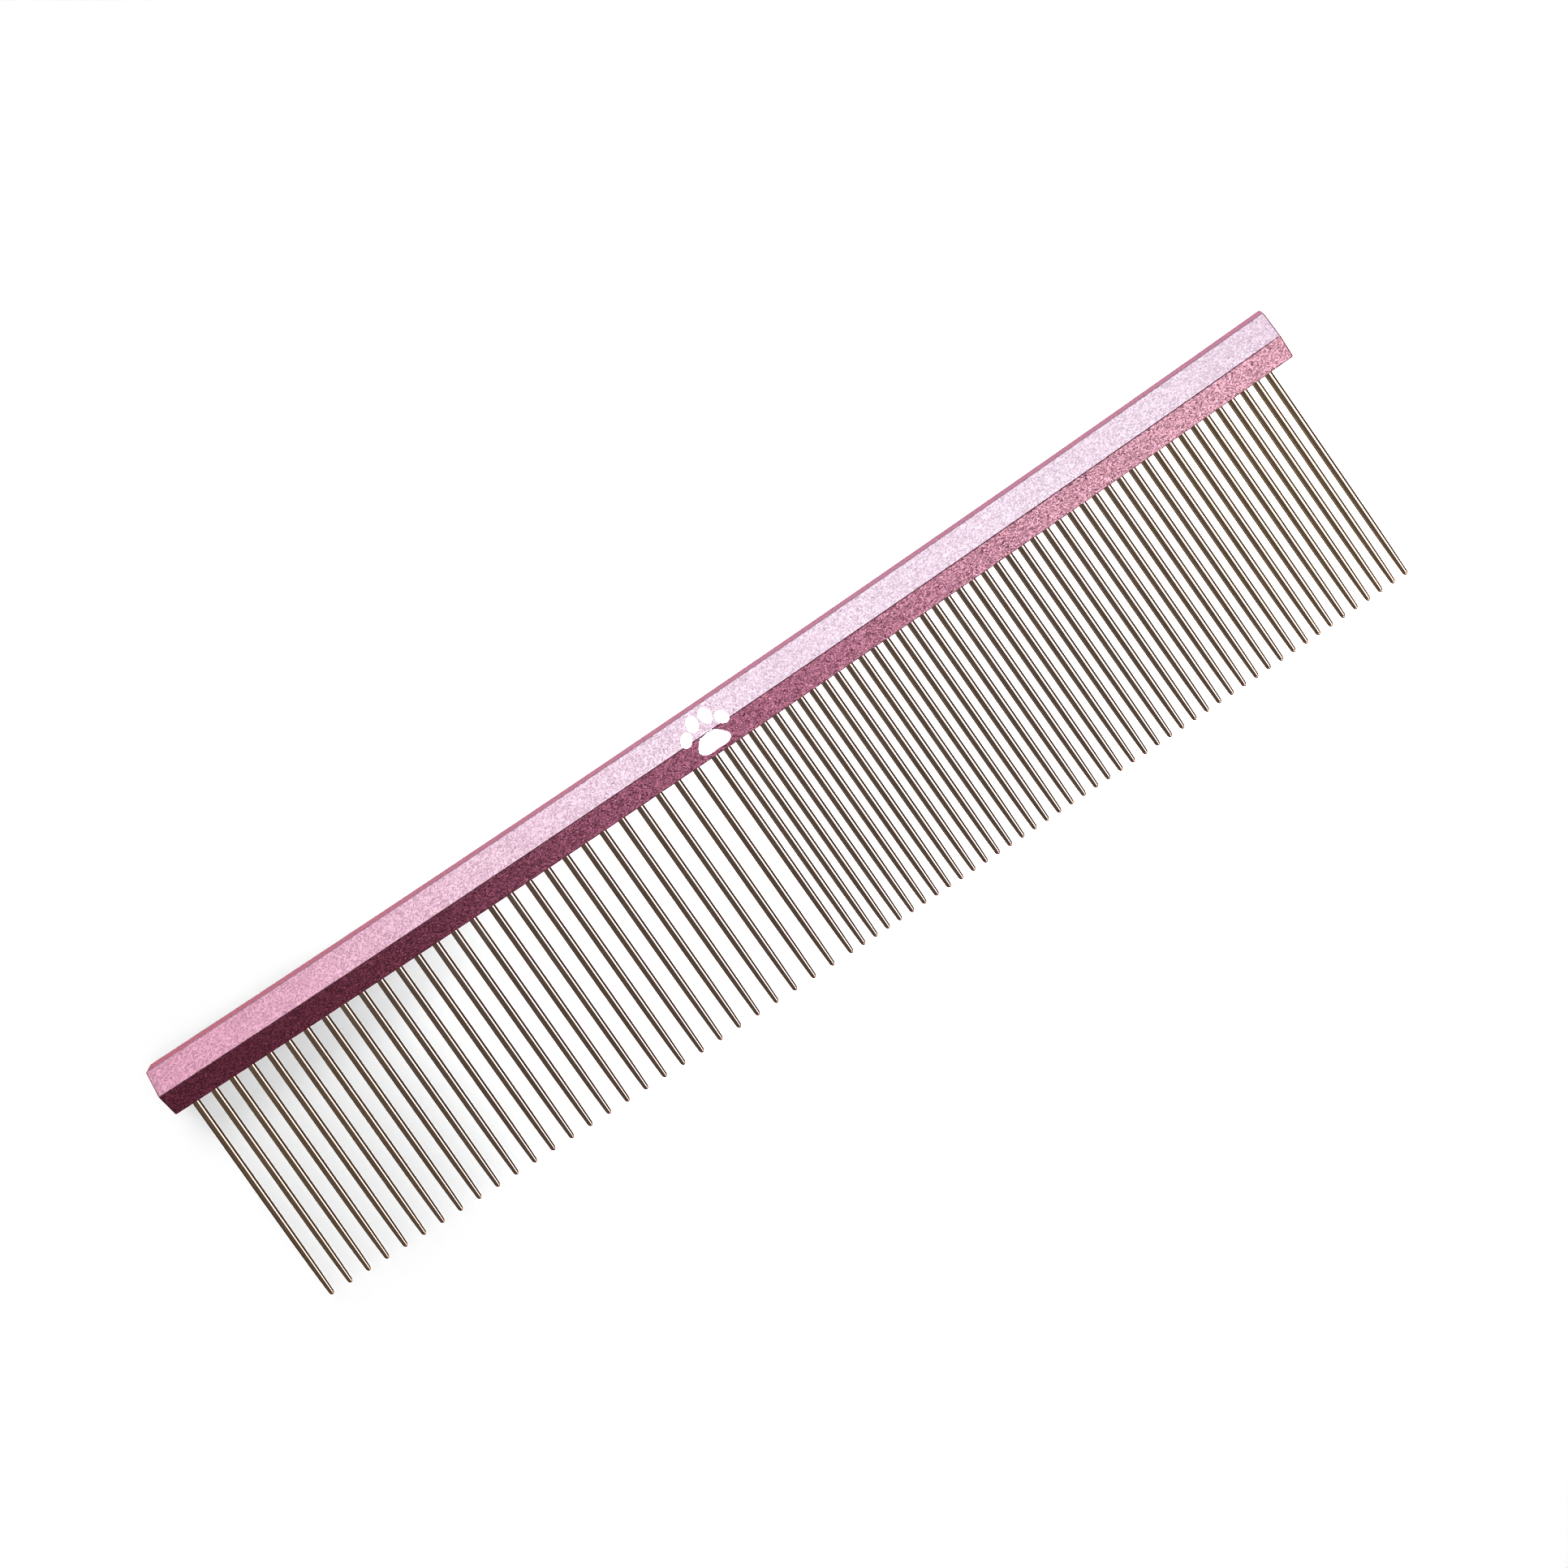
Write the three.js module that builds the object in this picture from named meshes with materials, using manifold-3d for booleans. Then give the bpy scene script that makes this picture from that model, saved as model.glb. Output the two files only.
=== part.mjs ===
// Grooming comb: a painted hexagonal bar, the spine, that holds one row of 74 round steel teeth.
// The teeth are widely spaced at one end of the spine and closely spaced at the other.
//
// Millimetres. +X runs along the spine, from the coarse end to the fine end. +Y is the way the
// back of the comb faces, so the teeth point to -Y. +Z is square to the row of teeth. The
// origin is the middle of the back flat, on the plane of the teeth.

import * as THREE from 'three';
import { mergeVertices } from 'three/addons/utils/BufferGeometryUtils.js';
import Module from 'manifold-3d';

const wasm = await Module();
wasm.setup();

// Spine.
const SPINE_LENGTH = 190;
const ACROSS_FLATS = 7.45;
const BOW = 0.88;                 // the middle of the spine stands this far towards the teeth
const SPINE_STEPS = 19;           // straight lengths that the bow is made of; odd, so one is central

// Row of teeth. The last coarse tooth starts the fine spacing.
const COARSE_TEETH = 29;
const FINE_TEETH = 45;
const COARSE_PITCH = 3.19;
const FINE_PITCH = 2.08;
const COARSE_END_MARGIN = 3.0;    // from the coarse end of the spine to the first tooth

// Tooth.
const TOOTH_LENGTH = 34.7;        // outside the spine
const TOOTH_DIAMETER = 1.12;
const TIP_DIAMETER = 0.7;         // where the taper meets the rounded tip
const TAPER_LENGTH = 6;           // the diameter closes on its full value over this length
const TIP_ROUNDING = 0.45;        // length of the rounded tip
const ROOT_DEPTH = 4.4;           // inside the spine
const TOOTH_SIDES = 8;

// Distances from the tip at which the outline of a tooth turns.
const TOOTH_RINGS = [0.11, TIP_ROUNDING, 3, 7.5, 15];

// Sockets in the spine.
const SIDE_CLEARANCE = 0.1;
const END_CLEARANCE = 0.3;

// Neighbouring coarse teeth share a short tie, buried in the spine.
const TIE_WIDTH = 0.8;
const TIE_HEIGHT = 0.8;

// A circular arc of this radius, as long as the spine, rises by the bow at its middle.
const BOW_RADIUS = (SPINE_LENGTH ** 2 / 4 + BOW ** 2) / (2 * BOW);
const HALF_FLAT = ACROSS_FLATS / Math.sqrt(3) / 2;
const HALF_ACROSS_CORNERS = 2 * HALF_FLAT;

const spinePaint = new THREE.MeshStandardMaterial({
  color: 0xc58bb4,
  roughness: 0.38,
  metalness: 0.6,
});
const toothSteel = new THREE.MeshStandardMaterial({
  color: 0xc9b79a,
  roughness: 0.22,
  metalness: 1,
});

// The geometry as a closed solid, with shared corners merged and empty triangles left out.
const MERGE_WITHIN = 1e-4;
const NUMBERS_PER_CORNER = 3;

function solidOf(geometry) {
  const bare = geometry.index ? geometry.clone() : geometry;
  bare.deleteAttribute('normal');
  bare.deleteAttribute('uv');
  const merged = mergeVertices(bare, MERGE_WITHIN);
  const corners = merged.index.array;
  const kept = [];
  for (let i = 0; i < corners.length; i += NUMBERS_PER_CORNER) {
    const [a, b, c] = [corners[i], corners[i + 1], corners[i + 2]];
    if (a !== b && b !== c && c !== a) {
      kept.push(a, b, c);
    }
  }
  return new wasm.Manifold(new wasm.Mesh({
    numProp: NUMBERS_PER_CORNER,
    vertProperties: new Float32Array(merged.attributes.position.array),
    triVerts: new Uint32Array(kept),
  }));
}

function geometryOf(solid) {
  const mesh = solid.getMesh();
  const geometry = new THREE.BufferGeometry();
  geometry.setAttribute('position', new THREE.BufferAttribute(mesh.vertProperties, mesh.numProp));
  geometry.setIndex(new THREE.BufferAttribute(mesh.triVerts, 1));
  return geometry;
}

// The place on the bowed spine that is this far along it from the middle: on the tooth flat,
// with Y square to the flat.
function station(along) {
  const angle = along / BOW_RADIUS;
  const radius = BOW_RADIUS + ACROSS_FLATS;
  const place = new THREE.Matrix4().makeRotationZ(angle);
  place.setPosition(radius * Math.sin(angle), BOW_RADIUS - radius * Math.cos(angle), 0);
  return place;
}

// Distance of every tooth from the middle of the spine, coarse end first.
function toothPlaces() {
  const places = [];
  let along = COARSE_END_MARGIN - SPINE_LENGTH / 2;
  for (let i = 0; i < COARSE_TEETH + FINE_TEETH; i += 1) {
    places.push(along);
    along += i < COARSE_TEETH - 1 ? COARSE_PITCH : FINE_PITCH;
  }
  return places;
}

// Radius of a tooth at a distance from its tip.
function toothRadius(fromTip) {
  const taper = Math.exp(-fromTip / TAPER_LENGTH);
  const full = (TOOTH_DIAMETER - (TOOTH_DIAMETER - TIP_DIAMETER) * taper) / 2;
  const intoRounding = Math.max(0, 1 - fromTip / TIP_ROUNDING);
  return full * Math.sqrt(1 - intoRounding ** 2);
}

// One tooth, pointing down Y from a spine whose tooth flat is at Y = 0.
function toothGeometry() {
  const profile = [new THREE.Vector2(0, -TOOTH_LENGTH)];
  for (const fromTip of TOOTH_RINGS) {
    profile.push(new THREE.Vector2(toothRadius(fromTip), fromTip - TOOTH_LENGTH));
  }
  profile.push(new THREE.Vector2(TOOTH_DIAMETER / 2, ROOT_DEPTH));
  profile.push(new THREE.Vector2(0, ROOT_DEPTH));
  return new THREE.LatheGeometry(profile, TOOTH_SIDES);
}

// The blind hole that takes one tooth. Its flats stand off the tooth's by the side clearance.
function socketGeometry() {
  const radius = TOOTH_DIAMETER / 2 + SIDE_CLEARANCE / Math.cos(Math.PI / TOOTH_SIDES);
  const depth = ROOT_DEPTH + END_CLEARANCE;
  return new THREE.CylinderGeometry(radius, radius, 2 * depth, TOOTH_SIDES);
}

// The tie between the inner ends of two neighbouring coarse teeth, or the room for it.
function tieGeometry(clearance) {
  const height = TIE_HEIGHT + 2 * clearance;
  const width = TIE_WIDTH + 2 * clearance;
  const geometry = new THREE.BoxGeometry(COARSE_PITCH, height, width);
  geometry.translate(0, ROOT_DEPTH - TIE_HEIGHT, 0);
  return geometry;
}

// A straight hexagonal bar, bent so that every flat follows the bow.
function bowedBar() {
  const section = new THREE.Shape([
    new THREE.Vector2(0, -HALF_FLAT),
    new THREE.Vector2(0, HALF_FLAT),
    new THREE.Vector2(-ACROSS_FLATS / 2, HALF_ACROSS_CORNERS),
    new THREE.Vector2(-ACROSS_FLATS, HALF_FLAT),
    new THREE.Vector2(-ACROSS_FLATS, -HALF_FLAT),
    new THREE.Vector2(-ACROSS_FLATS / 2, -HALF_ACROSS_CORNERS),
  ]);
  const bar = new THREE.ExtrudeGeometry(section, {
    depth: SPINE_LENGTH,
    steps: SPINE_STEPS,
    bevelEnabled: false,
  });
  const corner = bar.attributes.position;
  for (let i = 0; i < corner.count; i += 1) {
    const angle = (corner.getZ(i) - SPINE_LENGTH / 2) / BOW_RADIUS;
    const radius = BOW_RADIUS - corner.getX(i);
    const x = radius * Math.sin(angle);
    const y = BOW_RADIUS - radius * Math.cos(angle);
    corner.setXYZ(i, x, y, corner.getY(i));
  }
  return bar;
}

function placed(geometry, along) {
  return solidOf(geometry.clone().applyMatrix4(station(along)));
}

// Coarse teeth that share a node, as lists of places: two by two, and the last three together.
function coarseSets(places) {
  const sets = [];
  for (let i = 0; i + 1 < COARSE_TEETH; i += 2) {
    sets.push(places.slice(i, i + 2));
  }
  sets.at(-1).push(places[COARSE_TEETH - 1]);
  return sets;
}

function tiePlaces(set) {
  return set.slice(1).map((along) => along - COARSE_PITCH / 2);
}

function spineMesh(places, sets) {
  let spine = solidOf(bowedBar());
  for (const along of places) {
    spine = spine.subtract(placed(socketGeometry(), along));
  }
  for (const along of sets.flatMap(tiePlaces)) {
    spine = spine.subtract(placed(tieGeometry(SIDE_CLEARANCE), along));
  }
  return new THREE.Mesh(geometryOf(spine), spinePaint);
}

function coarseMesh(set) {
  let teeth = placed(toothGeometry(), set[0]);
  for (const along of set.slice(1)) {
    teeth = teeth.add(placed(toothGeometry(), along));
  }
  for (const along of tiePlaces(set)) {
    teeth = teeth.add(placed(tieGeometry(0), along));
  }
  return new THREE.Mesh(geometryOf(teeth), toothSteel);
}

function fineMesh(along) {
  const tooth = new THREE.Mesh(toothGeometry(), toothSteel);
  tooth.applyMatrix4(station(along));
  return tooth;
}

function numbered(first, count) {
  return Array.from({ length: count }, (_, i) => String(first + i).padStart(2, '0')).join('_');
}

const comb = new THREE.Group();
const places = toothPlaces();
const sets = coarseSets(places);

const spine = spineMesh(places, sets);
spine.name = 'spine';
comb.add(spine);

let number = 1;
for (const set of sets) {
  const teeth = coarseMesh(set);
  teeth.name = `coarse_teeth_${numbered(number, set.length)}`;
  comb.add(teeth);
  number += set.length;
}

for (const along of places.slice(COARSE_TEETH)) {
  const tooth = fineMesh(along);
  tooth.name = `fine_tooth_${numbered(number, 1)}`;
  comb.add(tooth);
  number += 1;
}

export default comb;
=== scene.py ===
"""Grooming comb: a painted hexagonal spine, 74 steel teeth and a printed paw, on a pale floor."""

import math

import bmesh
import bpy
from mathutils import Matrix, Vector


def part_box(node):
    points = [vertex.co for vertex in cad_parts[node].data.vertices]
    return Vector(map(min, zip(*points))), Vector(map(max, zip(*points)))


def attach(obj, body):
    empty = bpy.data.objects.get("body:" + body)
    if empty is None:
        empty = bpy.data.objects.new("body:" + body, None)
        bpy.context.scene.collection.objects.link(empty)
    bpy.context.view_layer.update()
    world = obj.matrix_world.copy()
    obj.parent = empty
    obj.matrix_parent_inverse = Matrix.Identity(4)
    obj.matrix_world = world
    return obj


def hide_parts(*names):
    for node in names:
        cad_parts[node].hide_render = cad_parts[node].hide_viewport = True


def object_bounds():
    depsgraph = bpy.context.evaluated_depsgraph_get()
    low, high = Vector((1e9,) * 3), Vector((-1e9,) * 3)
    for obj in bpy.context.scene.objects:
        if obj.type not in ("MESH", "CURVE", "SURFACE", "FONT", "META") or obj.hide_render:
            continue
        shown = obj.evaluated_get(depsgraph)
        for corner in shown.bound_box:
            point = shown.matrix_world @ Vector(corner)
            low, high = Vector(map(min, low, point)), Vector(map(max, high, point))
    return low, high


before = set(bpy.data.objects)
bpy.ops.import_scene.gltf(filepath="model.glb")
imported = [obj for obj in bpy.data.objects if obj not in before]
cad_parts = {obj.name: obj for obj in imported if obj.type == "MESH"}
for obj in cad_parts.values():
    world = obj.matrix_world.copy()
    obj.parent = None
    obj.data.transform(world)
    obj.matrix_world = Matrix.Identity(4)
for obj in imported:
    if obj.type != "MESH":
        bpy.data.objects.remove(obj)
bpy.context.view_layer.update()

MM = 0.001

# The row of teeth, in metres, as the CAD source spaces it.
COARSE_TEETH = 29
FINE_TEETH = 45
COARSE_PITCH = 3.19 * MM
FINE_PITCH = 2.08 * MM
COARSE_END_MARGIN = 3.0 * MM

# One tooth.
TOOTH_LENGTH = 34.7 * MM
TOOTH_DIAMETER = 1.12 * MM
TIP_DIAMETER = 0.7 * MM
TAPER_LENGTH = 6 * MM
TIP_ROUNDING = 0.45 * MM
ROOT_DEPTH = 4.4 * MM
ROOT_CHAMFER = 0.12 * MM
TOOTH_SIDES = 28

# The spine's own finish.
EDGE_ROUNDING = 0.26 * MM
EDGE_SEGMENTS = 5
END_ROUNDING = 0.22 * MM
END_SEGMENTS = 4
HOLE_SIDES = 28
HOLE_CLEARANCE = 0.035 * MM
HOLE_COUNTERSINK = 0.07 * MM
COUNTERSINK_MIDDLE = (0.3, 0.4)  # where it bends, out and down, in shares of its size
COUNTERSINK_FOOT = 1.2  # how deep it goes, in the same shares
HOLE_END_CLEARANCE = 0.2 * MM
DRILL_POINT = 0.6  # height of the hole's pointed end, as a share of its radius
CREASE = math.radians(40)  # edges sharper than this aren't smoothed over
HEX = math.pi / 3  # one sixth of a turn

# The spine's size comes from the frame. Its section is a regular hexagon, and it follows an arc.
spine_low, spine_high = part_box("spine")
HALF_ACROSS_CORNERS = (spine_high.z - spine_low.z) / 2
ACROSS_FLATS = HALF_ACROSS_CORNERS * math.sqrt(3)
BOW = spine_high.y
BOW_RADIUS = (spine_high.x**2 + BOW**2) / (2 * BOW) - ACROSS_FLATS
SPINE_LENGTH = 2 * BOW_RADIUS * math.asin(spine_high.x / (BOW_RADIUS + ACROSS_FLATS))


# ---------------------------------------------------------------- places


def bowed(along, depth, height):
    """The point this far along the bow, under the back flat, and off the plane of the teeth."""
    angle = along / BOW_RADIUS
    radius = BOW_RADIUS + depth
    return Vector((radius * math.sin(angle), BOW_RADIUS - radius * math.cos(angle), height))


def tooth_places():
    """How far each tooth is from the spine's middle, coarse end first."""
    places = []
    along = COARSE_END_MARGIN - SPINE_LENGTH / 2
    for i in range(COARSE_TEETH + FINE_TEETH):
        places.append(along)
        along += COARSE_PITCH if i < COARSE_TEETH - 1 else FINE_PITCH
    return places


def mesh_object(name, bm):
    bmesh.ops.recalc_face_normals(bm, faces=bm.faces)
    mesh = bpy.data.meshes.new(name)
    bm.to_mesh(mesh)
    bm.free()
    mesh.shade_smooth()
    piece = bpy.data.objects.new(name, mesh)
    bpy.context.scene.collection.objects.link(piece)
    return piece


# ---------------------------------------------------------------- spine


def section(inset):
    """The rounded hexagon as (depth, height), starting at the middle of the tooth flat."""
    apothem = ACROSS_FLATS / 2 - inset
    rounding = EDGE_ROUNDING - inset
    to_arc_centre = (apothem - rounding) / math.cos(HEX / 2)
    points = [(ACROSS_FLATS / 2 + apothem, 0.0)]
    for corner in range(6):
        middle = HEX / 2 + corner * HEX
        for step in range(EDGE_SEGMENTS + 1):
            angle = middle - HEX / 2 + step * HEX / EDGE_SEGMENTS
            out = to_arc_centre * math.cos(middle) + rounding * math.cos(angle)
            up = to_arc_centre * math.sin(middle) + rounding * math.sin(angle)
            points.append((ACROSS_FLATS / 2 + out, up))
    return points


def circle(radius, sides):
    """Points evenly round a circle, as (x, y)."""
    angles = [turn * 2 * math.pi / sides for turn in range(sides)]
    return [(radius * math.cos(angle), radius * math.sin(angle)) for angle in angles]


def bridge(bm, a, b):
    """A closed band of faces between two rings of corners."""
    for i in range(len(a)):
        j = (i + 1) % len(a)
        bm.faces.new((a[i], a[j], b[j], b[i]))


def fan(bm, ring, point):
    """A cone of faces from a ring of corners to one point."""
    for i in range(len(ring)):
        bm.faces.new((ring[i], ring[(i + 1) % len(ring)], point))


def build_spine(places):
    bm = bmesh.new()

    def ring(along, inset=0.0):
        return [bm.verts.new(bowed(along, *point)) for point in section(inset)]

    def join_all_but_tooth_flat(a, b):
        for i in range(1, len(a) - 1):
            bm.faces.new((a[i], a[i + 1], b[i + 1], b[i]))

    def end_rings(sign):
        """Rings that round the edge of one end, outermost first."""
        rings = []
        for step in range(END_SEGMENTS):
            angle = step * math.pi / 2 / END_SEGMENTS
            inset = END_ROUNDING * (1 - math.sin(angle))
            along = SPINE_LENGTH / 2 - END_ROUNDING * (1 - math.cos(angle))
            rings.append(ring(sign * along, inset))
        return rings

    def hole(along):
        """One blind hole: countersink, wall and drilled point. Returns the mouth's corners."""
        wall = TOOTH_DIAMETER / 2 + HOLE_CLEARANCE
        depth = ROOT_DEPTH + HOLE_END_CLEARANCE
        share_out, share_down = COUNTERSINK_MIDDLE
        levels = [
            (wall + HOLE_COUNTERSINK, 0.0),
            (wall + HOLE_COUNTERSINK * share_out, HOLE_COUNTERSINK * share_down),
            (wall, HOLE_COUNTERSINK * COUNTERSINK_FOOT),
            (wall, depth),
        ]
        rings = []
        for radius, under in levels:
            edge = circle(radius, HOLE_SIDES)
            points = [bowed(along + x, ACROSS_FLATS - under, z) for x, z in edge]
            rings.append([bm.verts.new(point) for point in points])
        for upper, lower in zip(rings, rings[1:]):
            bridge(bm, upper, lower)
        fan(bm, rings[-1], bm.verts.new(bowed(along, ACROSS_FLATS - depth - wall * DRILL_POINT, 0)))
        return rings[0]

    bounds = [(a + b) / 2 for a, b in zip(places, places[1:])]
    first = places[0] - COARSE_PITCH / 2
    last = places[-1] + FINE_PITCH / 2
    cells = [first, *bounds, last]

    left = end_rings(-1)
    right = end_rings(1)
    bm.faces.new(left[0])
    bm.faces.new(right[0])
    for a, b in zip(left, left[1:]):
        bridge(bm, a, b)
    for a, b in zip(right, right[1:]):
        bridge(bm, a, b)

    straight = [
        ring(-SPINE_LENGTH / 2 + END_ROUNDING),
        *[ring(along) for along in cells],
        ring(SPINE_LENGTH / 2 - END_ROUNDING),
    ]
    bridge(bm, left[-1], straight[0])
    bridge(bm, straight[0], straight[1])
    bridge(bm, straight[-2], straight[-1])
    bridge(bm, straight[-1], right[-1])
    for along, a, b in zip(places, straight[1:], straight[2:]):
        join_all_but_tooth_flat(a, b)
        mouth = hole(along)
        half = HOLE_SIDES // 2
        bm.faces.new((a[0], a[1], b[1], b[0], *mouth[: half + 1]))
        bm.faces.new((b[0], b[-1], a[-1], a[0], *mouth[half:], mouth[0]))
    spine = mesh_object("spine_painted", bm)
    spine.data.set_sharp_from_angle(angle=CREASE)
    keep_flats_flat = spine.modifiers.new("even_normals", "WEIGHTED_NORMAL")
    keep_flats_flat.mode = "FACE_AREA"
    keep_flats_flat.weight = 100
    keep_flats_flat.keep_sharp = True
    return spine


# ---------------------------------------------------------------- teeth


# Where the outline of a tooth turns: on its rounded tip, and then in taper lengths from the tip.
TIP_STEPS = 7
TAPER_STEPS = (0.15, 0.3, 0.5, 0.75, 1, 1.4, 1.9, 2.6, 3.6)
FULL_WIDTH_BY = 2 * MM  # how far outside the spine a tooth has its full width


def tooth_profile():
    """(distance from the tip, radius) down one tooth, tip first and the chamfered root last."""
    turns = [step * math.pi / 2 / TIP_STEPS for step in range(1, TIP_STEPS + 1)]
    from_tip = [TIP_ROUNDING * (1 - math.cos(turn)) for turn in turns]
    from_tip += [TAPER_LENGTH * share for share in TAPER_STEPS]
    profile = []
    for distance in from_tip:
        taper = math.exp(-distance / TAPER_LENGTH)
        full = (TOOTH_DIAMETER - (TOOTH_DIAMETER - TIP_DIAMETER) * taper) / 2
        into_rounding = max(0.0, 1 - distance / TIP_ROUNDING)
        profile.append((distance, full * math.sqrt(1 - into_rounding**2)))
    whole = TOOTH_LENGTH + ROOT_DEPTH
    profile.append((TOOTH_LENGTH - FULL_WIDTH_BY, TOOTH_DIAMETER / 2))
    profile.append((whole - ROOT_CHAMFER, TOOTH_DIAMETER / 2))
    profile.append((whole, TOOTH_DIAMETER / 2 - ROOT_CHAMFER))
    return profile


def build_tooth(name, along):
    bm = bmesh.new()
    angle = along / BOW_RADIUS
    outward = Vector((math.sin(angle), -math.cos(angle), 0))
    across = Vector((math.cos(angle), math.sin(angle), 0))
    tip = bowed(along, ACROSS_FLATS + TOOTH_LENGTH, 0)
    rings = []
    for from_tip, radius in tooth_profile():
        centre = tip - outward * from_tip
        points = [centre + across * x + Vector((0, 0, z)) for x, z in circle(radius, TOOTH_SIDES)]
        rings.append([bm.verts.new(point) for point in points])
    for a, b in zip(rings, rings[1:]):
        bridge(bm, a, b)
    fan(bm, rings[0], bm.verts.new(tip))
    bm.faces.new(rings[-1])
    tooth = mesh_object(name, bm)
    tooth.data.set_sharp_from_angle(angle=CREASE)
    return tooth


# ---------------------------------------------------------------- printed paw

INK_PROUD = 0.018 * MM  # how far the ink stands off the paint
INK_SUNK = 0.02 * MM  # and how far its underside is inside the spine
PAW_AT = -1.3 * MM  # along the spine from its middle
PAW_TURNS = 36
PAW_RINGS = 7
INK_CREASE = math.radians(50)
# The main pad has three soft lobes, and a dent in its outer edge.
LOBE = 0.1
DENT = 0.12
DENT_WIDTH = 0.12
# Each pad, in millimetres from the paw's middle, the main one first:
# (across the spine, along it, radius across, radius along, turn in degrees).
PADS = [
    (-1.9, 0.0, 1.95, 2.5, 0),
    (0.7, -3.0, 1.22, 0.88, 24),
    (2.25, -1.1, 1.35, 0.9, 8),
    (2.25, 1.1, 1.35, 0.9, -8),
    (0.7, 3.0, 1.22, 0.88, -24),
]


def over_ridge(along, sideways, lift):
    """A point lifted off the two upper facets, this far over the surface from the ridge."""
    arc = EDGE_ROUNDING * HEX / 2
    turn = max(-HEX / 2, min(HEX / 2, sideways / EDGE_ROUNDING))
    flat = sideways - max(-arc, min(arc, sideways))
    to_arc_centre = (ACROSS_FLATS / 2 - EDGE_ROUNDING) / math.cos(HEX / 2)
    reach = EDGE_ROUNDING + lift
    back = reach * math.sin(turn) + flat * math.cos(turn)
    up = to_arc_centre + reach * math.cos(turn) - flat * math.sin(turn)
    return bowed(along, ACROSS_FLATS / 2 - back, up)


def build_paw():
    bm = bmesh.new()
    for pad, (across, along, half_across, half_along, turned) in enumerate(PADS):
        tilt = math.radians(turned)

        def at(share, turn, lift):
            angle = turn * 2 * math.pi / PAW_TURNS
            reach = 1.0
            if pad == 0:
                dent = DENT * math.exp(-(math.cos(angle) + 1) / DENT_WIDTH)
                reach = 1 + LOBE * math.cos(3 * angle) - dent
            u = share * reach * half_across * math.cos(angle)
            v = share * reach * half_along * math.sin(angle)
            sideways = across + u * math.cos(tilt) - v * math.sin(tilt)
            lengthways = along + u * math.sin(tilt) + v * math.cos(tilt)
            return bm.verts.new(over_ridge(PAW_AT + lengthways * MM, sideways * MM, lift))

        layers = []
        for lift in (INK_PROUD, -INK_SUNK):
            centre = at(0, 0, lift)
            shares = [step / PAW_RINGS for step in range(1, PAW_RINGS + 1)]
            grid = [[at(share, turn, lift) for turn in range(PAW_TURNS)] for share in shares]
            fan(bm, grid[0], centre)
            for inner, outer in zip(grid, grid[1:]):
                bridge(bm, inner, outer)
            layers.append(grid[-1])
        bridge(bm, *layers)
    paw = mesh_object("paw_print", bm)
    paw.data.set_sharp_from_angle(angle=INK_CREASE)
    return paw


# ---------------------------------------------------------------- materials


class Nodes:
    """A short way to write node trees."""

    def __init__(self, owner):
        owner.use_nodes = True
        self.tree = owner.node_tree
        self.tree.nodes.clear()

    def add(self, kind, inputs=None, **settings):
        node = self.tree.nodes.new(kind)
        for name, value in settings.items():
            setattr(node, name, value)
        for socket, value in (inputs or {}).items():
            self.set(node.inputs[socket], value)
        return node

    def set(self, socket, value):
        if isinstance(value, bpy.types.NodeSocket):
            self.tree.links.new(value, socket)
        else:
            socket.default_value = value

    def math(self, operation, a, b=0.0):
        return self.add("ShaderNodeMath", {0: a, 1: b}, operation=operation).outputs[0]

    def vector(self, operation, a, b=(0, 0, 0)):
        return self.add("ShaderNodeVectorMath", {0: a, 1: b}, operation=operation).outputs[0]

    def axes(self, vector):
        """The vector's x, y and z."""
        return self.add("ShaderNodeSeparateXYZ", {0: vector}).outputs

    def remap(self, value, low, high, to_low=0.0, to_high=1.0, smooth=False):
        kind = "SMOOTHSTEP" if smooth else "LINEAR"
        inputs = {0: value, 1: low, 2: high, 3: to_low, 4: to_high}
        return self.add("ShaderNodeMapRange", inputs, interpolation_type=kind).outputs[0]

    def mix_colour(self, share, a, b):
        """Sockets 6 and 7 of this node are its two colours, and 2 is the mixed one."""
        node = self.add("ShaderNodeMix", {0: share}, data_type="RGBA")
        self.set(node.inputs[6], a)
        self.set(node.inputs[7], b)
        return node.outputs[2]

    def noise(self, where, scale, detail, roughness):
        inputs = {"Vector": where, "Scale": scale, "Detail": detail, "Roughness": roughness}
        return self.add("ShaderNodeTexNoise", inputs).outputs[0]

    def bump(self, height, strength, distance, **inputs):
        inputs = {"Strength": strength, "Distance": distance, "Height": height, **inputs}
        return self.add("ShaderNodeBump", inputs).outputs[0]

    def surface(self, **inputs):
        """Close a material's tree with one shader. An underscore stands for a space."""
        inputs = {name.replace("_", " "): value for name, value in inputs.items()}
        shader = self.add("ShaderNodeBsdfPrincipled", inputs)
        self.add("ShaderNodeOutputMaterial", {0: shader.outputs[0]})


def rgba(r, g, b):
    return (r, g, b, 1.0)


def grey(level):
    return rgba(level, level, level)


# How closely each pattern repeats, in waves or cells per metre.
FLAKES = 5200.0
PAINT_DRIFT = 90.0
DRAWN_STREAKS = 9000.0
PIN_TO_PIN = 420.0
WEAR = 260.0
INK_GRAIN = 4200.0
FLOOR_MOTTLE = 60.0

# The flakes' tones differ more on the lower facets than on the upper ones.
LOWER_CONTRAST, UPPER_CONTRAST = 0.85, 0.4
FLAKE_LEAN, STRAY_LEAN = 0.03, 0.42

# The teeth take a painted warm reflection, turning a little yellower between these distances from
# the comb's middle.
YELLOW_FROM, YELLOW_BY = 45 * MM, 95 * MM


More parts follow.
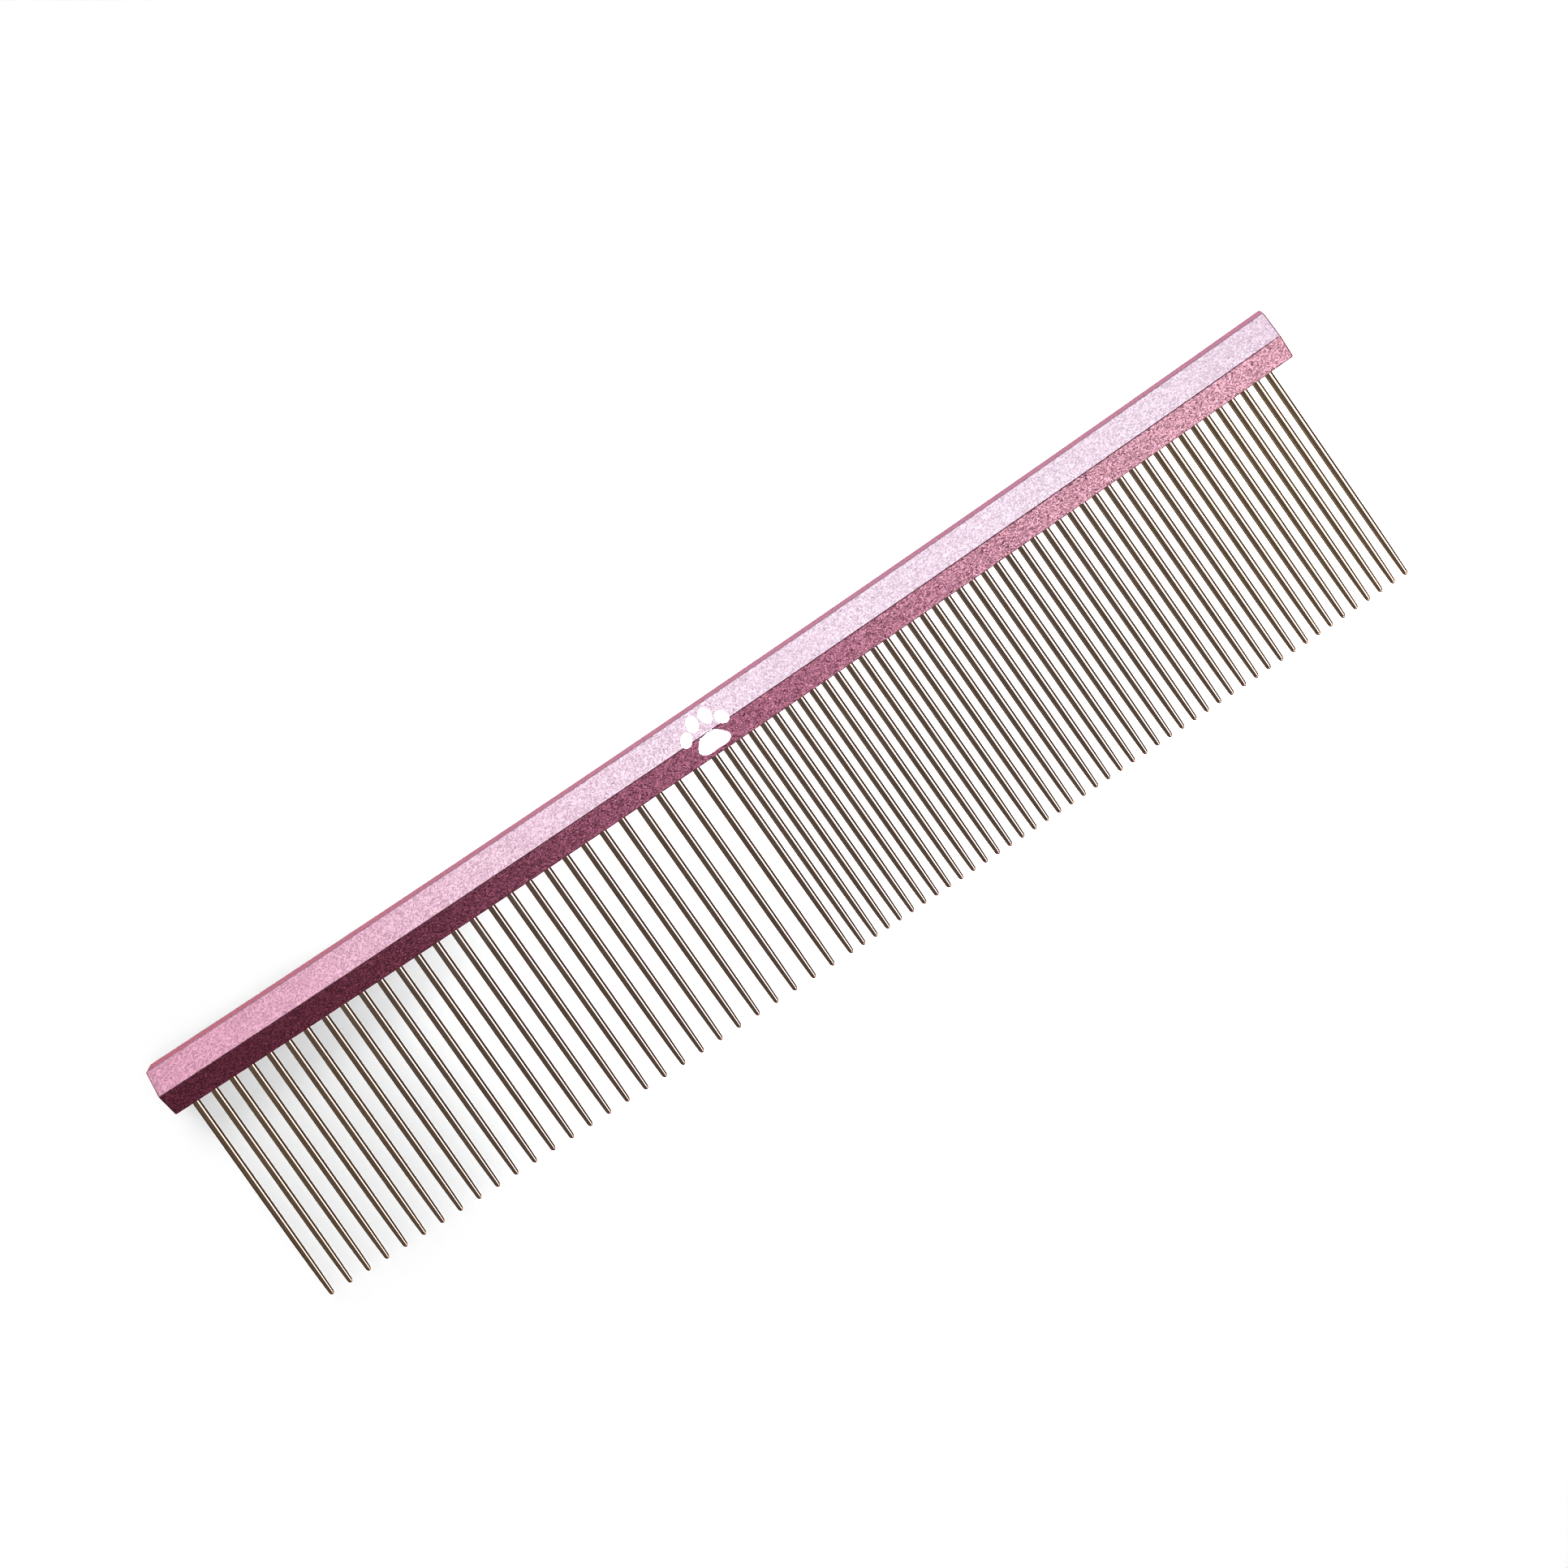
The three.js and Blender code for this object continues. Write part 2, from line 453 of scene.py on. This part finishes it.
def flake_paint():
    """Pink metallic paint: a fine bed of flakes that lie at slightly different angles."""
    material = bpy.data.materials.new("flake_paint")
    n = Nodes(material)
    where = n.add("ShaderNodeTexCoord").outputs["Object"]
    grain = n.add("ShaderNodeTexVoronoi", {"Vector": where, "Scale": FLAKES, "Randomness": 1.0})
    flake = n.add("ShaderNodeSeparateColor", {0: grain.outputs["Color"]})
    broad = n.noise(where, PAINT_DRIFT, 3.0, 0.55)

    across = n.axes(n.add("ShaderNodeNewGeometry").outputs["True Normal"])[1]
    contrast = n.remap(across, -0.3, 0.3, LOWER_CONTRAST, UPPER_CONTRAST)
    off_mean = n.math("SUBTRACT", flake.outputs[0], 0.5)
    tone = n.math("ADD", 0.5, n.math("MULTIPLY", contrast, off_mean))
    base = n.mix_colour(tone, rgba(0.5, 0.37, 0.44), rgba(1.0, 0.8, 0.9))
    base = n.mix_colour(n.remap(broad, 0.35, 0.65, 0.0, 0.12), base, rgba(0.75, 0.55, 0.65))

    # A few flakes lean well away from the surface, and catch a lamp where their neighbours don't.
    stray = n.math("POWER", flake.outputs[1], 6.0)
    stray_lean = n.math("MULTIPLY", contrast, STRAY_LEAN)
    slope = n.math("ADD", FLAKE_LEAN, n.math("MULTIPLY", stray, stray_lean))
    lean = n.vector("SUBTRACT", grain.outputs["Color"], (0.5, 0.5, 0.5))
    lean = n.add("ShaderNodeVectorMath", {0: lean, 3: slope}, operation="SCALE").outputs[0]
    normal = n.add("ShaderNodeNewGeometry").outputs["Normal"]
    leaning = n.vector("NORMALIZE", n.vector("ADD", normal, lean))
    bump = n.bump(broad, 0.1, 0.1 * MM, Normal=leaning)
    rough = n.remap(flake.outputs[2], 0.0, 1.0, 0.3, 0.38)
    n.surface(Base_Color=base, Metallic=1.0, Roughness=rough, Normal=bump)
    return material


def tooth_steel():
    """Polished steel pins, with faint marks along them, a slightly different tone each, and a
    painted warm reflection towards both ends.
    """
    material = bpy.data.materials.new("tooth_steel")
    n = Nodes(material)
    where = n.add("ShaderNodeTexCoord").outputs["Object"]
    drawn = n.vector("MULTIPLY", where, (1.0, 0.02, 1.0))
    streak = n.noise(drawn, DRAWN_STREAKS, 3.0, 0.6)
    pin = n.noise(n.vector("MULTIPLY", where, (1.0, 0.0, 0.0)), PIN_TO_PIN, 1.0, 0.5)
    wear = n.noise(where, WEAR, 4.0, 0.6)
    base = n.mix_colour(streak, rgba(0.72, 0.68, 0.63), rgba(0.92, 0.89, 0.84))
    base = n.mix_colour(n.remap(pin, 0.4, 0.6, 0.0, 0.3), base, rgba(0.8, 0.73, 0.64))
    # Painted warm reflection: the base colour turns yellower towards both ends of the row.
    off_middle = n.math("ABSOLUTE", n.axes(where)[0])
    painted_warm_reflection = n.remap(off_middle, YELLOW_FROM, YELLOW_BY, 0.0, 0.5, smooth=True)
    base = n.mix_colour(painted_warm_reflection, base, rgba(0.95, 0.895, 0.72))
    worn = n.remap(wear, 0.3, 0.7, 0.12, 0.2)
    rough = n.math("ADD", worn, n.remap(streak, 0.3, 0.7, -0.02, 0.04))
    n.surface(Base_Color=base, Metallic=1.0, Roughness=rough, Normal=n.bump(streak, 0.1, 0.01 * MM))
    return material


def white_ink():
    """Screen-printed ink, with the paint's grain showing through a little."""
    material = bpy.data.materials.new("white_ink")
    n = Nodes(material)
    where = n.add("ShaderNodeTexCoord").outputs["Object"]
    grain = n.noise(where, INK_GRAIN, 2.0, 0.6)
    base = n.mix_colour(n.remap(grain, 0.35, 0.7), rgba(0.86, 0.84, 0.85), rgba(0.7, 0.64, 0.68))
    rough = n.remap(grain, 0.3, 0.7, 0.4, 0.55)
    n.surface(Base_Color=base, Roughness=rough, Normal=n.bump(grain, 0.2, 0.03 * MM))
    return material


def pale_floor():
    material = bpy.data.materials.new("pale_floor")
    n = Nodes(material)
    where = n.add("ShaderNodeTexCoord").outputs["Object"]
    base = n.mix_colour(n.noise(where, FLOOR_MOTTLE, 3.0, 0.5), grey(0.8), grey(0.82))
    n.surface(Base_Color=base, Roughness=0.9, Specular_IOR_Level=0.0)
    return material


# ---------------------------------------------------------------- the object

paint, steel, ink = flake_paint(), tooth_steel(), white_ink()
places = tooth_places()

spine = build_spine(places)
spine.data.materials.append(paint)
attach(spine, "root")
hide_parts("spine")

paw = build_paw()
paw.data.materials.append(ink)
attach(paw, "root")

# A CAD node may hold two or three coarse teeth, and its name ends with their numbers.
node_of = {}
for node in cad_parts:
    for number in node.split("_"):
        if number.isdigit():
            node_of[int(number)] = node

for number, along in enumerate(places, start=1):
    tooth = build_tooth(f"tooth_{number:02d}", along)
    tooth.data.materials.append(steel)
    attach(tooth, "root")
    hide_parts(node_of[number])

# ---------------------------------------------------------------- floor, lights and camera

FLOOR_HALF = 8.0
floor_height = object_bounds()[0].z
bm = bmesh.new()
signs = [(-1, -1), (1, -1), (1, 1), (-1, 1)]
bm.faces.new([bm.verts.new((x * FLOOR_HALF, y * FLOOR_HALF, floor_height)) for x, y in signs])
floor = mesh_object("floor", bm)
floor.data.materials.append(pale_floor())
floor.visible_glossy = False

# The camera sees a white room. Plain surfaces get next to nothing from it. The comb mirrors soft
# tones in the room and, as it doesn't mirror the floor, in the floor's place.
ROOM_WHITE = grey(0.996)
ROOM_FILL = grey(0.04)
FLOOR_BEHIND_LEFT = rgba(1.08, 0.63, 0.68)
FLOOR_BEHIND = rgba(1.17, 0.89, 0.985)
FLOOR_FAR_BEHIND = rgba(0.82, 0.8, 0.79)
FLOOR_IN_FRONT = rgba(0.3, 0.22, 0.2)
FLOOR_IN_FRONT_RIGHT = rgba(0.9, 0.66, 0.56)
ROOM_FRONT_LOW = rgba(0.42, 0.205, 0.27)
ROOM_FRONT_LOW_RIGHT = rgba(0.85, 0.62, 0.6)
ROOM_FRONT = rgba(0.35, 0.303, 0.275)
ROOM_BEHIND = grey(0.8)

world = bpy.data.worlds.new("studio")
bpy.context.scene.world = world
n = Nodes(world)
toward = n.add("ShaderNodeTexCoord").outputs["Generated"]
rightward, backward, upward = n.axes(toward)


def turn_to(first, second, direction, low, high):
    """The first colour up to the low value of a direction, the second from the high value on."""
    return n.mix_colour(n.remap(direction, low, high, smooth=True), first, second)


behind = turn_to(FLOOR_BEHIND_LEFT, FLOOR_BEHIND, rightward, -0.27, -0.08)
front = turn_to(FLOOR_IN_FRONT, FLOOR_IN_FRONT_RIGHT, rightward, 0.1, 0.3)
front = turn_to(front, FLOOR_IN_FRONT, backward, -0.42, -0.28)
ground = turn_to(front, behind, backward, -0.1, 0.3)
ground = turn_to(ground, FLOOR_FAR_BEHIND, backward, 0.35, 0.6)
low = turn_to(ROOM_FRONT_LOW, ROOM_FRONT_LOW_RIGHT, rightward, 0.15, 0.5)
room = turn_to(low, ROOM_FRONT, backward, -0.8, -0.6)
room = turn_to(room, ROOM_BEHIND, backward, -0.1, 0.02)
shiny = turn_to(ground, room, upward, -0.15, 0.05)
ray = n.add("ShaderNodeLightPath").outputs
seen = n.mix_colour(ray["Is Glossy Ray"], ROOM_FILL, shiny)
seen = n.mix_colour(ray["Is Camera Ray"], seen, ROOM_WHITE)
n.add("ShaderNodeOutputWorld", {0: n.add("ShaderNodeBackground", {0: seen, 1: 1.0}).outputs[0]})
world.cycles.sampling_method = "NONE"


def lamp(name, kind, place, aim, mirrored, **settings):
    """A lamp the camera doesn't see. One that isn't mirrored only lights plain surfaces."""
    data = bpy.data.lights.new(name, kind)
    for setting, value in settings.items():
        setattr(data, setting, value)
    made = bpy.data.objects.new(name, data)
    made.location = place
    made.rotation_euler = (Vector(aim) - Vector(place)).to_track_quat("-Z", "Y").to_euler()
    made.visible_glossy = mirrored
    made.visible_camera = False
    bpy.context.scene.collection.objects.link(made)
    return made


def softbox(name, place, aim, width, height, radiance, colour):
    """A rectangular lamp of a given radiance, mirrored in the comb."""
    shape = {"shape": "RECTANGLE", "size": width, "size_y": height}
    power = radiance * math.pi * width * height
    made = lamp(name, "AREA", place, aim, True, energy=power, color=colour, **shape)
    made.visible_diffuse = False


def linked(name, *pieces):
    """A collection of these pieces alone, for a lamp's light linking."""
    collection = bpy.data.collections.new(name)
    for piece in pieces:
        collection.objects.link(piece)
    return collection


def sun(name, place, energy, width, shadow=True):
    """A sun that shines from this place towards the comb's middle, this many degrees wide."""
    made = lamp(name, "SUN", place, (0, 0, 0), False, energy=energy, angle=math.radians(width))
    made.data.use_shadow = shadow
    return made


# Only the spine and the paw block the key, so the teeth throw no sharp shadows of their own.
key = sun("key", (0.04, 1.0, 0.88), 0.58, 26)
key.light_linking.blocker_collection = linked("shade_the_floor", spine, paw)
sun("wash", (0, 0, 1), 2.97, 20, shadow=False)

# The row of teeth takes a little of this very wide light off the floor.
sun("veil", (0, 0.1, 1), 0.43, 45)

# The floor is over-lit towards the fine end, and the shadows fade out there.
pool = {"energy": 9.4, "spot_size": math.radians(38.6), "spot_blend": 1.0}
pool_lamp = lamp("pool", "SPOT", (0.1, -0.01, 0.5), (0.1, -0.01, 0), False, **pool)
pool_lamp.data.use_shadow = False

# This lamp lights the paw alone, and makes it as white on the lower facet as on the upper one.
ink_fill = sun("ink_fill", (0, -0.87, 0.5), 1.1, 20, shadow=False)
ink_fill.light_linking.receiver_collection = linked("ink", paw)

# What the comb mirrors: its upper facet the boxes behind it, its lower facet those in front, and
# its teeth the one beyond the fine end.
softbox("back_box", (0.04, 0.2, 0.22), (0.04, 0, 0), 0.28, 0.24, 1.0, (0.62, 0.915, 0.79))
softbox("rose_box", (-0.17, 0.2, 0.22), (-0.17, 0, 0), 0.14, 0.24, 1.0, (0.46, 0.285, 0.31))
softbox("front_box", (0.135, -0.25, 0.105), (0.135, 0, 0), 0.21, 0.12, 0.355, (1.21, 1.84, 1.4))
softbox("front_left_box", (0.08, -0.26, 0.11), (0.08, 0, 0), 0.31, 0.12, 0.49, (1.27, 1.24, 1.28))
softbox("tooth_box", (0.34, -0.11, 0.27), (0.018, -0.02, 0.0), 0.34, 0.38, 1.27, (1.0, 1.0, 1.08))

# The view: turns about the comb's length, its width and the line of sight, and then the camera's
# place as seen along that line, from a point in front of the frame's origin.
VIEW_PITCH, VIEW_ROLL, VIEW_TURN = (math.radians(a) for a in (9.0361, -5.5177, 34.9435))
VIEW_OFFSET = Vector((10.2933, -9.3688, 575.4293)) * MM
VIEW_POINT = Vector((0, -2.84 * MM, 0))

sight = Matrix.Rotation(VIEW_TURN, 3, "Z")
sight = sight @ Matrix.Rotation(VIEW_PITCH, 3, "X") @ Matrix.Rotation(VIEW_ROLL, 3, "Y")
facing = sight.transposed()
camera_data = bpy.data.cameras.new("camera")
camera_data.lens = 94.01
camera_data.sensor_width = 36.0
camera_data.clip_start = 0.01
camera = bpy.data.objects.new("camera", camera_data)
camera.matrix_world = Matrix.Translation(facing @ VIEW_OFFSET + VIEW_POINT) @ facing.to_4x4()
bpy.context.scene.collection.objects.link(camera)
bpy.context.scene.camera = camera

# The picture's brightness follows the light in proportion, so that a thin dark tooth keeps its
# width against the bright floor. Light that the metal throws on the floor would tint the shadow.
scene = bpy.context.scene
scene.view_settings.view_transform = "Standard"
scene.view_settings.look = "None"
scene.view_settings.gamma = 1 / 2.2
scene.cycles.filter_width = 1.0
scene.cycles.caustics_reflective = False
